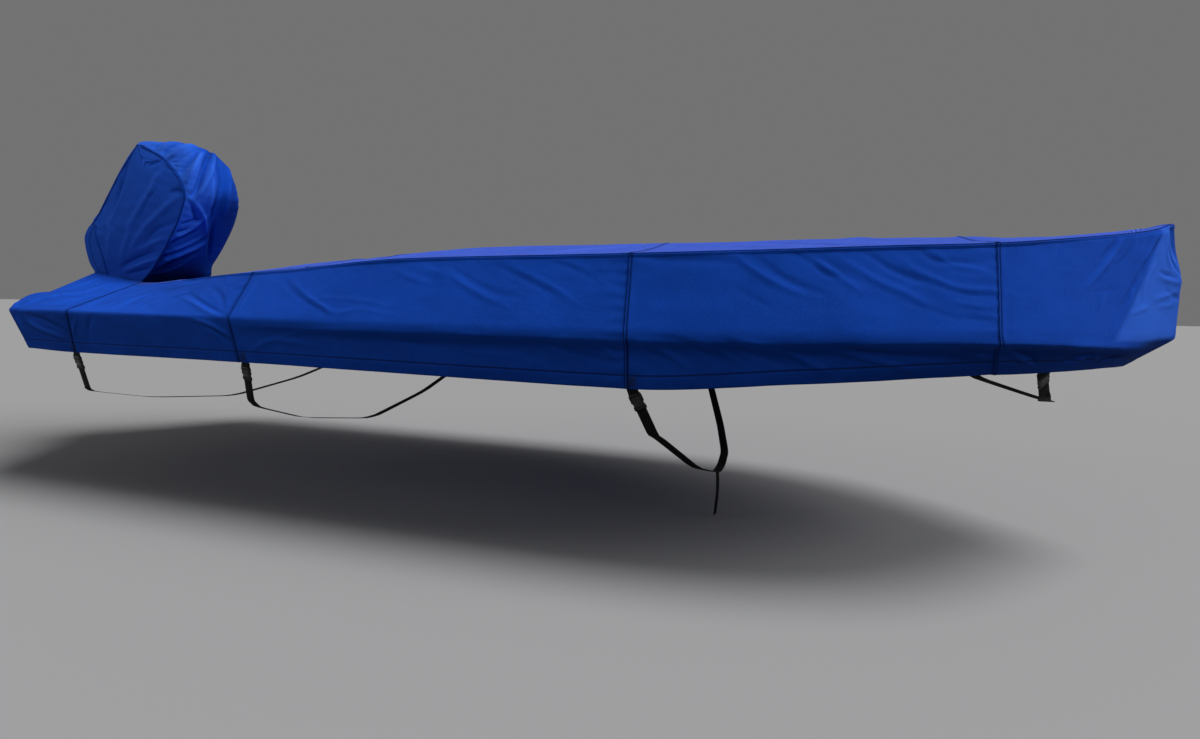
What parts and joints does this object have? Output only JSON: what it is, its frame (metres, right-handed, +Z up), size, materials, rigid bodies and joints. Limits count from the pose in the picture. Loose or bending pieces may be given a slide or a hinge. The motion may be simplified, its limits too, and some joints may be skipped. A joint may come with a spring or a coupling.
{
  "type": "fitted boat cover with outboard-motor hood",
  "caption": "Fitted skiff cover of sewn royal-blue cloth panels with an outboard-motor hood, hem tabs, side-release buckles and belly webbing, shaped as stretched over a hull",
  "frame": {"origin": "under the cloth of the top, on the centreline near mid-length, where the ridge of the boat holds the cover up", "axes": "+X to the bow, +Y to port, +Z up; the gunwale fold lies level"},
  "size_m": [5.481, 1.8122, 1.8459],
  "materials": {
    "cover_cloth": "royal-blue coated polyester twill, matt, a little faded where the sun reaches it",
    "top_cloth": "the same royal-blue twill, paler from the sun on the upper side",
    "webbing": "black woven polypropylene webbing",
    "buckle_plastic": "black moulded acetal with a fine grain"
  },
  "bodies": {
    "root": {"buckle_1_port": "buckle_plastic", "buckle_1_starboard": "buckle_plastic", "buckle_2_port": "buckle_plastic", "buckle_2_starboard": "buckle_plastic", "buckle_3_port": "buckle_plastic", "buckle_3_starboard": "buckle_plastic", "buckle_4_port": "buckle_plastic", "buckle_4_starboard": "buckle_plastic", "hood_crown": "cover_cloth", "hood_gusset_port": "cover_cloth", "hood_gusset_starboard": "cover_cloth", "hood_side_port": "cover_cloth", "hood_side_starboard": "cover_cloth", "side_aft_port": "cover_cloth", "side_aft_starboard": "cover_cloth", "side_bow_port": "cover_cloth", "side_bow_starboard": "cover_cloth", "side_fore_port": "cover_cloth", "side_fore_starboard": "cover_cloth", "side_mid_port": "cover_cloth", "side_mid_starboard": "cover_cloth", "side_stern_port": "cover_cloth", "side_stern_starboard": "cover_cloth", "strap_tab_1_port": "webbing", "strap_tab_1_starboard": "webbing", "strap_tab_2_port": "webbing", "strap_tab_2_starboard": "webbing", "strap_tab_3_port": "webbing", "strap_tab_3_starboard": "webbing", "strap_tab_4_port": "webbing", "strap_tab_4_starboard": "webbing", "top_aft": "top_cloth", "top_bow": "top_cloth", "top_fore": "top_cloth", "top_mid": "top_cloth", "top_mid_aft": "top_cloth", "transom_flap_port": "cover_cloth", "transom_flap_starboard": "cover_cloth", "webbing_1": "webbing", "webbing_2": "webbing", "webbing_3": "webbing", "webbing_3_free_end": "webbing", "webbing_4": "webbing"}
  },
  "joints": []
}
